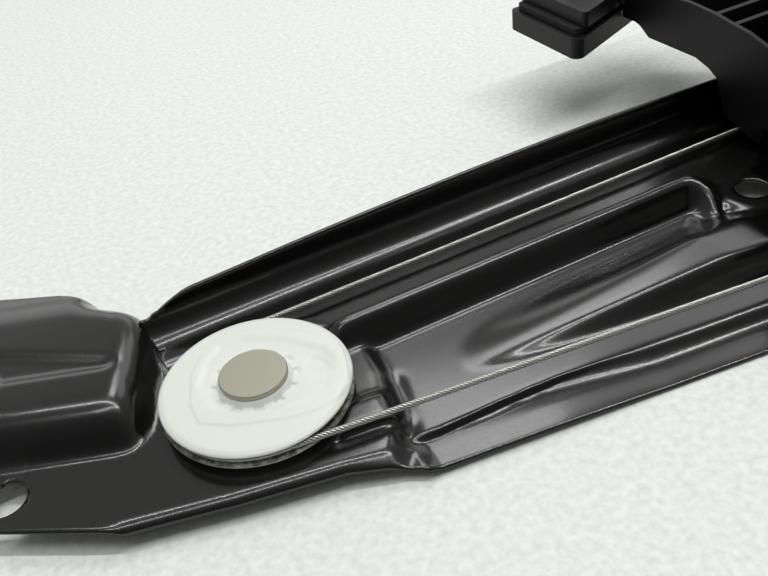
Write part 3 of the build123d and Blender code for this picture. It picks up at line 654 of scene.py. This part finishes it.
def open_hole(work, x, y, radius):
    """Opens a round hole and moves the vertices at its rim onto the circle."""
    centre = Vector((x, y)) * MM
    inside = [f for f in work.faces if (f.calc_center_median().xy - centre).length < radius * MM]
    bmesh.ops.delete(work, geom=inside, context="FACES")
    for v in work.verts:
        offset = v.co.xy - centre
        if v.is_boundary and abs(offset.length - radius * MM) < RIM_CATCH * MM:
            on_rim = centre + offset.normalized() * radius * MM
            v.co.x, v.co.y = on_rim


def make_rail(material):
    """The pressed plate with its flange and holes, as thick as its sheet."""
    vertices, faces = rail_surface()
    rail = mesh_piece("pressed_rail", vertices, faces, material)
    work = bmesh.new()
    work.from_mesh(rail.data)
    bmesh.ops.remove_doubles(work, verts=work.verts, dist=WELD)
    for hole in rail_holes():
        open_hole(work, *hole)
    loose = [v for v in work.verts if not v.link_faces]
    bmesh.ops.delete(work, geom=loose, context="VERTS")
    work.to_mesh(rail.data)
    work.free()
    thickness = rail.modifiers.new("sheet", "SOLIDIFY")
    thickness.thickness = SHEET * MM
    thickness.offset = -1
    thickness.use_even_offset = False
    applied(rail)
    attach(rail, "rail")
    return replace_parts(rail, "guide_rail")


def applied(piece):
    """Turns the modifiers' result into the piece's own mesh."""
    graph = bpy.context.evaluated_depsgraph_get()
    mesh = bpy.data.meshes.new_from_object(piece.evaluated_get(graph))
    piece.modifiers.clear()
    piece.data = mesh
    return piece


# ---------------------------------------------------------------- pulleys

PULLEY_R = 25.0
PULLEY_BORE = 5.05
PULLEY_BOTTOM_Z = 1.6
HUB_BOTTOM_Z = 0.9
HUB_TOP_Z = 7.45
FACE_Z = 6.3
LAND_OUTLINE = [(-13.4, 11.3), (-17.0, 0.5), (-17.0, -6.8), (-10.4, -11.9), (2.0, -17.3), (9.1, -18.6),
                (15.5, -18.0), (20.5, -14.5), (24.0, -2.0), (20.1, 6.8), (14.3, 13.5), (5.7, 19.6),
                (0.1, 21.4), (-6.5, 19.6)]
DISH_OUTLINE = [(20.2, 1.0), (21.0, -4.7), (19.0, -9.2), (14.5, -14.0), (8.7, -15.0), (-0.4, -13.4),
                (-8.8, -9.0), (-13.2, -3.3), (-13.6, 6.1), (-9.8, 13.5), (-4.0, 18.0), (3.0, 17.9),
                (11.5, 12.0)]
LAND_RISE = 0.36
DISH_DEPTH = 0.45
POCKETS = 12
POCKET_DEPTH = 0.6
PULLEY_RINGS = 64
PULLEY_SPOKES = 288
GROOVE_HALF = 1.05
# Side rings of the groove that take the brown film: real grease, and painted shade in the recess
GREASED_AND_SHADED_RINGS = (2, 11)


def pulley_face(x, y):
    """Height of the upper face: a pear-shaped land with a shallow dish in it and pockets by the hub."""
    radius = np.hypot(x, y)
    height = np.full(x.shape, FACE_Z)
    height += LAND_RISE * eased(0.5 - polygon_distance(LAND_OUTLINE, x, y) / 0.9)
    height -= DISH_DEPTH * eased(0.2 - polygon_distance(DISH_OUTLINE, x, y) / 2.4)
    spot = np.hypot((x - 15.5) / 3.6, (y + 4.5) / 5.0)
    height -= 0.35 * eased((1.0 - spot) * 2.2)
    turn = (np.arctan2(y, x) * POCKETS / (2 * pi)) % 1.0 - 0.5
    across = np.abs(turn) * 2 * pi * radius / POCKETS
    pocket = np.minimum((radius - 9.4) / 0.7, (11.9 - radius) / 1.0)
    pocket = np.minimum(pocket, (1.15 - across) / 0.7 + 0.5)
    height -= POCKET_DEPTH * eased(pocket)
    collar = eased((9.5 - radius) / 0.5 + 0.5)
    height = height + (HUB_TOP_Z - height) * collar
    return height - 0.5 * eased((radius - 22.6) / 2.2) ** 2


def pulley_mesh():
    """Vertices in millimetres about the pulley's axis, and faces."""
    radii = np.linspace(PULLEY_BORE, PULLEY_R - 0.35, PULLEY_RINGS)
    angles = np.linspace(0, 2 * pi, PULLEY_SPOKES, endpoint=False)
    rings = []
    for radius in radii:
        x, y = radius * np.cos(angles), radius * np.sin(angles)
        rings.append(np.stack([x, y, pulley_face(x, y)], axis=1))
    low, high = CABLE_Z - GROOVE_HALF, CABLE_Z + GROOVE_HALF
    side = [(PULLEY_R - 0.1, 5.55), (PULLEY_R, 5.35), (PULLEY_R, high + 0.3), (PULLEY_R - 0.2, high + 0.1),
            (PITCH_R, high - 0.05), (PITCH_R - 1.0, CABLE_Z + 0.65), (PITCH_R - 1.1, CABLE_Z),
            (PITCH_R - 1.0, CABLE_Z - 0.65), (PITCH_R, low + 0.05), (PULLEY_R - 0.2, low - 0.1),
            (PULLEY_R, low - 0.3), (PULLEY_R, PULLEY_BOTTOM_Z + 0.25), (PULLEY_R - 0.25, PULLEY_BOTTOM_Z),
            (18.2, PULLEY_BOTTOM_Z), (17.5, HUB_BOTTOM_Z), (PULLEY_BORE, HUB_BOTTOM_Z),
            (PULLEY_BORE, 3.0), (PULLEY_BORE, 5.5)]
    for radius, z in side:
        x, y = radius * np.cos(angles), radius * np.sin(angles)
        rings.append(np.stack([x, y, np.full(angles.shape, z)], axis=1))
    vertices = np.concatenate(rings)
    count = len(angles)
    faces = []
    for i in range(len(rings)):
        here, there = i * count, (i + 1) % len(rings) * count
        for k in range(count):
            after = (k + 1) % count
            faces.append((here + k, there + k, there + after, here + after))
    return vertices, faces


def make_pulley(name, side, material):
    """Pulley at the lower end for side -1, or the upper one for 1."""
    vertices, faces = pulley_mesh()
    if side > 0:
        vertices = vertices * (-1, 1, 1)
        faces = [face[::-1] for face in faces]
    middle = np.array([side * HALF_SPACING, PULLEY_Y, 0.0])
    ring = np.arange(len(vertices)) // PULLEY_SPOKES - PULLEY_RINGS
    # Marks the groove's rings for the brown film: real grease and painted shade
    grease_and_shade = np.where((ring >= GREASED_AND_SHADED_RINGS[0]) & (ring < GREASED_AND_SHADED_RINGS[1]), 1.0, 0.0)
    pulley = mesh_piece(name + "_wheel", (vertices + middle) * MM, faces, material)
    grease_and_shade_layer = pulley.data.attributes.new("grease_and_shade", "FLOAT", "POINT")
    grease_and_shade_layer.data.foreach_set("value", grease_and_shade)
    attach(pulley, name)
    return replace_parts(pulley, name)


# ---------------------------------------------------------------- stranded cable

# The real rope has many finer wires. Five thick strands with a long lay are drawn, so that the
# twist shows. They stand a little proud of the rope's own radius, which keeps its width right.
STRANDS = 5
STRAND_R = 0.275
STRAND_SIDES = 6
LAY = 5.4
LAY_SLACK = 0.12
STRAND_STEP = 0.4
ARC_POINTS = 60
WINDING_POINTS = 90
WINDING_TURN = 2.5 * pi
WINDING_PITCH = 1.1


def cable_path(side):
    """Points of the lower cable for side -1, or the upper one for 1, in metres."""
    points = [(-side * END_BLOCK_X, PULLEY_Y + PITCH_R, CABLE_Z)]
    points.append((-HALF_SPACING, PULLEY_Y + PITCH_R, CABLE_Z))
    for a in np.linspace(pi / 2, 3 * pi / 2 - RETURN_ANGLE, ARC_POINTS)[1:]:
        points.append((-HALF_SPACING + PITCH_R * cos(a), PULLEY_Y + PITCH_R * sin(a), CABLE_Z))
    start = -pi / 2 - RETURN_ANGLE
    drop = WINDING_PITCH * side
    meet = (DRUM_PITCH_R * cos(start), DRUM_PITCH_R * sin(start))
    run = pi * DRUM_PITCH_R
    points.append((meet[0] - run * cos(RETURN_ANGLE), meet[1] + run * sin(RETURN_ANGLE), CABLE_Z))
    for a in np.linspace(0, WINDING_TURN, WINDING_POINTS):
        points.append((DRUM_PITCH_R * cos(start + a), DRUM_PITCH_R * sin(start + a),
                       CABLE_Z + drop * (1 + a / pi)))
    return [Vector((x * -side * MM, y * MM, z * MM)) for x, y, z in points]


def strand_tree(material):
    """Geometry Nodes: lays strands in a helix round a curve."""
    tree = bpy.data.node_groups.new("stranded_wire", "GeometryNodeTree")
    face = tree.interface
    for name, kind in (("Geometry", "Geometry"), ("Strands", "Int"), ("Strand radius", "Float"),
                       ("Helix radius", "Float"), ("Lay length", "Float"), ("Step", "Float")):
        face.new_socket(name, in_out="INPUT", socket_type="NodeSocket" + kind)
    face.new_socket("Geometry", in_out="OUTPUT", socket_type="NodeSocketGeometry")
    given = add(tree, "NodeGroupInput").outputs
    fine = add(tree, "GeometryNodeResampleCurve", {"mode": "LENGTH"},
               {"Curve": given["Geometry"], "Length": given["Step"]})
    copies = add(tree, "GeometryNodeDuplicateElements", {"domain": "SPLINE"},
                 {"Geometry": fine.outputs[0], "Amount": given["Strands"]})
    length = add(tree, "GeometryNodeSplineParameter")
    turns = add(tree, "ShaderNodeMath", {"operation": "DIVIDE"},
                {0: length.outputs["Length"], 1: given["Lay length"]})
    share = add(tree, "ShaderNodeMath", {"operation": "DIVIDE"},
                {0: copies.outputs["Duplicate Index"], 1: given["Strands"]})
    turned = add(tree, "ShaderNodeMath", {"operation": "ADD"},
                 {0: turns.outputs[0], 1: share.outputs[0]})
    angle = add(tree, "ShaderNodeMath", {"operation": "MULTIPLY"}, {0: turned.outputs[0]},
                {1: 2 * pi})
    tangent = add(tree, "GeometryNodeInputTangent")
    normal = add(tree, "GeometryNodeInputNormal")
    spoke = add(tree, "ShaderNodeVectorRotate", {"rotation_type": "AXIS_ANGLE"},
                {"Vector": normal.outputs[0], "Axis": tangent.outputs[0], "Angle": angle.outputs[0]})
    offset = add(tree, "ShaderNodeVectorMath", {"operation": "SCALE"},
                 {0: spoke.outputs[0], "Scale": given["Helix radius"]})
    wound = add(tree, "GeometryNodeSetPosition", None,
                {"Geometry": copies.outputs[0], "Offset": offset.outputs[0]})
    section = add(tree, "GeometryNodeCurvePrimitiveCircle", None, {"Radius": given["Strand radius"]},
                  {"Resolution": STRAND_SIDES})
    tube = add(tree, "GeometryNodeCurveToMesh", None,
               {"Curve": wound.outputs[0], "Profile Curve": section.outputs[0]}, {"Fill Caps": True})
    smooth = add(tree, "GeometryNodeSetShadeSmooth", None, {"Geometry": tube.outputs[0]})
    real = add(tree, "GeometryNodeRealizeInstances", None, {"Geometry": smooth.outputs[0]})
    painted = add(tree, "GeometryNodeSetMaterial", None, {"Geometry": real.outputs[0]})
    painted.inputs["Material"].default_value = material
    add(tree, "NodeGroupOutput", None, {0: painted.outputs[0]})
    return tree


def path_curve(name, points):
    """Curve object along the points."""
    curve = bpy.data.curves.new(name, "CURVE")
    curve.dimensions = "3D"
    curve.twist_mode = "MINIMUM"
    spline = curve.splines.new("POLY")
    spline.points.add(len(points) - 1)
    for place, point in zip(spline.points, points):
        place.co = (*point, 1)
    piece = bpy.data.objects.new(name, curve)
    bpy.context.scene.collection.objects.link(piece)
    return piece


def make_cable(name, side, tree):
    """Twisted strands along a cable's path, as a mesh of their own."""
    piece = path_curve(name + "_strands", cable_path(side))
    winding = piece.modifiers.new("strands", "NODES")
    winding.node_group = tree
    sizes = {"Strands": STRANDS, "Strand radius": STRAND_R * MM,
             "Helix radius": (CABLE_R + LAY_SLACK - STRAND_R) * MM,
             "Lay length": LAY * MM, "Step": STRAND_STEP * MM}
    for item in tree.interface.items_tree:
        if item.name in sizes and item.in_out == "INPUT":
            winding[item.identifier] = sizes[item.name]
    graph = bpy.context.evaluated_depsgraph_get()
    mesh = bpy.data.meshes.new_from_object(piece.evaluated_get(graph))
    bpy.data.objects.remove(piece)
    strands = bpy.data.objects.new(name + "_strands", mesh)
    bpy.context.scene.collection.objects.link(strands)
    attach(strands, "rail")
    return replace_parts(strands, name)


# ---------------------------------------------------------------- stage

def make_floor():
    size = FLOOR_HALF
    corners = [(-size, -size, FLOOR_Z), (size, -size, FLOOR_Z), (size, size, FLOOR_Z),
               (-size, size, FLOOR_Z)]
    mesh_piece("studio_floor", corners, [(0, 1, 2, 3)], floor_sheet(), smooth=False)


def area_light(name, place, aim, width, height, power):
    lamp = bpy.data.lights.new(name, "AREA")
    lamp.shape = "RECTANGLE"
    lamp.size, lamp.size_y = width, height
    lamp.energy = power
    light = bpy.data.objects.new(name, lamp)
    direction = Vector(aim) - Vector(place)
    turned = direction.to_track_quat("-Z", "Y").to_matrix().to_4x4()
    light.matrix_world = Matrix.Translation(place) @ turned
    bpy.context.scene.collection.objects.link(light)


def make_light():
    """The soft boxes and tubes, in a room whose strength grows towards its bright side."""
    world = bpy.data.worlds.new("studio")
    world.use_nodes = True
    tree = world.node_tree
    room = tree.nodes["Background"]
    room.inputs["Color"].default_value = linear("#E4E6E2")
    direction = add(tree, "ShaderNodeTexCoord").outputs["Generated"]
    facing = add(tree, "ShaderNodeVectorMath", {"operation": "DOT_PRODUCT"}, {0: direction},
                 {1: BRIGHT_SIDE})
    strength = add(tree, "ShaderNodeMapRange", None, {"Value": facing.outputs["Value"]},
                   {"From Min": -0.5, "From Max": 0.5, "To Min": ROOM_LIGHT[0], "To Max": ROOM_LIGHT[1]})
    tree.links.new(strength.outputs["Result"], room.inputs["Strength"])
    bpy.context.scene.world = world
    for box in SOFT_BOXES:
        area_light(*box)


def make_camera():
    """Camera above the plate's near edge, turned towards the drum."""
    data = bpy.data.cameras.new("camera")
    data.lens = CAMERA_LENS
    data.sensor_width = SENSOR_WIDTH
    data.clip_start = 0.005
    camera = bpy.data.objects.new("camera", data)
    turn = Matrix.Rotation(-CAMERA_TURN, 4, "Z") @ Matrix.Rotation(pi / 2 - CAMERA_PITCH, 4, "X")
    camera.matrix_world = Matrix.Translation(CAMERA_PLACE) @ turn @ Matrix.Rotation(-CAMERA_ROLL, 4, "Z")
    bpy.context.scene.collection.objects.link(camera)
    bpy.context.scene.camera = camera


# ---------------------------------------------------------------- the scene

bpy.context.scene.view_settings.view_transform = "Standard"
coat = electrocoat()
acetal = natural_acetal()
zinc = bright_zinc()
black = black_moulding()
wire = drawn_wire()
rubber = pad_rubber()
brass = turned_brass()
finishes = {"rail_coat": coat, "pulley_nylon": acetal, "rivet_zinc": zinc, "drum_acetal": acetal,
            "housing_nylon": black, "insert_brass": brass, "nipple_zinc": zinc, "cable_steel": wire,
            "carrier_acetal": black, "natural_acetal": acetal, "shoe_acetal": acetal,
            "pad_rubber": rubber, "bolt_zinc": zinc}
slot_of = {part["node"]: part["material_slot"] for part in frame["record"]["subparts"]}
for node, obj in frame["nodes"].items():
    obj.data.materials.clear()
    obj.data.materials.append(finishes[slot_of[node]])

make_rail(coat)
# Pulley material whose groove carries the brown film: real grease and painted shade
greased_and_shaded = natural_acetal("greased_shaded_acetal", True)
make_pulley("lower_pulley", -1, greased_and_shaded)
make_pulley("upper_pulley", 1, greased_and_shaded)
strands = strand_tree(wire)
make_cable("lower_cable", -1, strands)
make_cable("upper_cable", 1, strands)
make_floor()
make_light()
make_camera()
